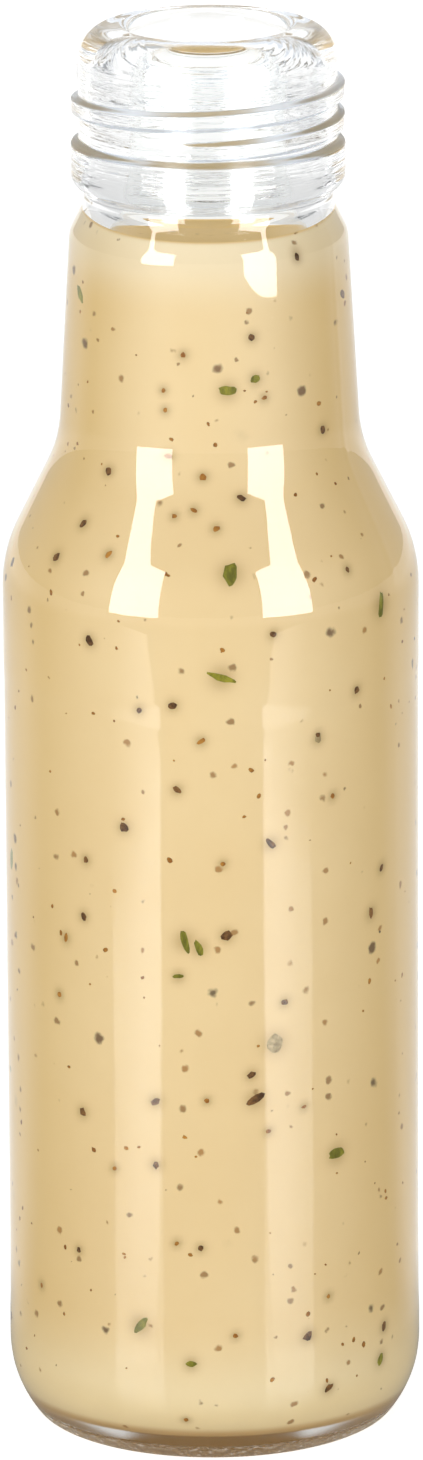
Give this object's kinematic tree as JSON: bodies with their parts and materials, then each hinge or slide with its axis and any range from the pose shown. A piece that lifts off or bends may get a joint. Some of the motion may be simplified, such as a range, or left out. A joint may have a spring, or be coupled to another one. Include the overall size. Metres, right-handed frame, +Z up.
{
  "type": "bottle of dressing",
  "caption": "Round clear glass bottle with a sloping shoulder, a tapering neck and a screw-thread mouth, open and filled with creamy herb dressing.",
  "frame": {"origin": "centre of the bearing ring under the base, on the surface that the bottle stands on", "axes": "+Z up the bottle's axis, out of the mouth; -Y faces the picture's camera"},
  "size_m": [0.0574, 0.0574, 0.1973],
  "materials": {
    "clear_glass": "smooth, clear, glossy",
    "cream_dressing": "thick cream with fine specks, wet",
    "green_herb": "rough dried leaf, wet",
    "black_pepper": "cracked, rough",
    "red_spice": "coarse ground",
    "garlic": "dull granule"
  },
  "bodies": {
    "root": {"glass_bottle": "clear_glass", "dressing": "cream_dressing", "herb_leaves": "green_herb", "pepper_grains": "black_pepper", "spice_grains": "red_spice", "garlic_granules": "garlic"}
  },
  "joints": []
}
